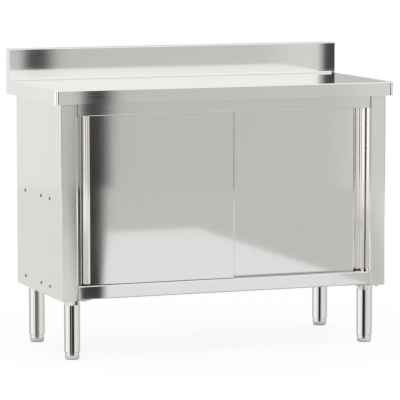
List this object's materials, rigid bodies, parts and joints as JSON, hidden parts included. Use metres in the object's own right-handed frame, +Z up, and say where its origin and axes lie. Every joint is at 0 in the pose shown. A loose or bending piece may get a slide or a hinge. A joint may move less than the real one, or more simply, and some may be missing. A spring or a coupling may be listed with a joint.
{
  "type": "stainless work table",
  "caption": "Stainless steel work table with rear upstand, closed cabinet base, middle shelf, sliding doors on rollers and adjustable tube legs.",
  "frame": {"origin": "on the floor, under the middle of the worktop", "axes": "+X to the right along the length as seen from the front, +Y to the back, +Z up"},
  "size_m": [1.15, 0.525, 0.958],
  "materials": {
    "sheet_steel": "fine satin stainless sheet",
    "tube_steel": "polished stainless tube",
    "turned_steel": "turned stainless",
    "track_steel": "rolled stainless strip",
    "stiffener_steel": "plain mill finish",
    "bright_fastener": "bright",
    "white_nylon": "matt nylon",
    "black_nylon": "matt nylon",
    "rubber_stop": "matt rubber"
  },
  "bodies": {
    "frame": {"worktop": "sheet_steel", "worktop_nuts": "bright_fastener", "top_channel_front": "stiffener_steel", "top_channel_rear": "stiffener_steel", "side_panel_left": "sheet_steel", "side_panel_right": "sheet_steel", "back_panel": "sheet_steel", "back_rivets": "bright_fastener", "bottom_shelf": "sheet_steel", "middle_shelf": "sheet_steel", "shelf_brackets": "stiffener_steel", "shelf_channel": "stiffener_steel", "base_channel_left": "stiffener_steel", "base_channel_right": "stiffener_steel", "side_screws": "bright_fastener", "side_nuts": "bright_fastener", "front_rail": "sheet_steel", "track_front": "track_steel", "track_rear": "track_steel", "track_screws": "bright_fastener", "track_stops": "rubber_stop", "floor_guide": "white_nylon", "guide_screws": "bright_fastener", "leg_plate_front_left": "stiffener_steel", "leg_plate_front_right": "stiffener_steel", "leg_plate_rear_left": "stiffener_steel", "leg_plate_rear_right": "stiffener_steel", "leg_tube_front_left": "tube_steel", "leg_tube_front_right": "tube_steel", "leg_tube_rear_left": "tube_steel", "leg_tube_rear_right": "tube_steel", "leg_insert_front_left": "black_nylon", "leg_insert_front_right": "black_nylon", "leg_insert_rear_left": "black_nylon", "leg_insert_rear_right": "black_nylon", "leg_bolts": "bright_fastener", "leg_nuts": "bright_fastener"},
    "foot_front_left": {"foot_front_left": "turned_steel"},
    "foot_front_right": {"foot_front_right": "turned_steel"},
    "foot_rear_left": {"foot_rear_left": "turned_steel"},
    "foot_rear_right": {"foot_rear_right": "turned_steel"},
    "door_left": {"door_left_skin": "sheet_steel", "door_left_liner": "sheet_steel", "door_left_channel": "sheet_steel", "door_left_hanger_outer": "bright_fastener", "door_left_hanger_inner": "bright_fastener", "door_left_screws": "bright_fastener", "door_left_axles": "bright_fastener"},
    "door_left_rollers_outer": {"door_left_rollers_outer": "white_nylon"},
    "door_left_rollers_inner": {"door_left_rollers_inner": "white_nylon"},
    "door_right": {"door_right_skin": "sheet_steel", "door_right_liner": "sheet_steel", "door_right_channel": "sheet_steel", "door_right_hanger_outer": "bright_fastener", "door_right_hanger_inner": "bright_fastener", "door_right_screws": "bright_fastener", "door_right_axles": "bright_fastener"},
    "door_right_rollers_outer": {"door_right_rollers_outer": "white_nylon"},
    "door_right_rollers_inner": {"door_right_rollers_inner": "white_nylon"}
  },
  "joints": [
    {"name": "door_left_slide", "type": "slide", "parent": "frame", "child": "door_left", "axis": [1, 0, 0], "range_m": [0, 0.46]},
    {"name": "door_right_slide", "type": "slide", "parent": "frame", "child": "door_right", "axis": [-1, 0, 0], "range_m": [0, 0.46]},
    {"name": "door_left_rollers_outer_spin", "type": "hinge", "parent": "door_left", "child": "door_left_rollers_outer", "pos_m": [-0.4272, -0.228, 0.8358], "axis": [0, 1, 0], "continuous": true},
    {"name": "door_left_rollers_inner_spin", "type": "hinge", "parent": "door_left", "child": "door_left_rollers_inner", "pos_m": [-0.036, -0.228, 0.8358], "axis": [0, 1, 0], "continuous": true},
    {"name": "door_right_rollers_outer_spin", "type": "hinge", "parent": "door_right", "child": "door_right_rollers_outer", "pos_m": [0.4272, -0.206, 0.8358], "axis": [0, 1, 0], "continuous": true},
    {"name": "door_right_rollers_inner_spin", "type": "hinge", "parent": "door_right", "child": "door_right_rollers_inner", "pos_m": [0.036, -0.206, 0.8358], "axis": [0, 1, 0], "continuous": true},
    {"name": "foot_front_left_height", "type": "slide", "parent": "frame", "child": "foot_front_left", "axis": [0, 0, 1], "range_m": [-0.035, 0.005]},
    {"name": "foot_front_right_height", "type": "slide", "parent": "frame", "child": "foot_front_right", "axis": [0, 0, 1], "range_m": [-0.035, 0.005]},
    {"name": "foot_rear_left_height", "type": "slide", "parent": "frame", "child": "foot_rear_left", "axis": [0, 0, 1], "range_m": [-0.035, 0.005]},
    {"name": "foot_rear_right_height", "type": "slide", "parent": "frame", "child": "foot_rear_right", "axis": [0, 0, 1], "range_m": [-0.035, 0.005]}
  ],
  "couplings": [
    {"joint": "door_left_rollers_outer_spin", "follows": "door_left_slide", "rad_per_m": 100},
    {"joint": "door_left_rollers_inner_spin", "follows": "door_left_slide", "rad_per_m": 100},
    {"joint": "door_right_rollers_outer_spin", "follows": "door_right_slide", "rad_per_m": -100},
    {"joint": "door_right_rollers_inner_spin", "follows": "door_right_slide", "rad_per_m": -100}
  ]
}
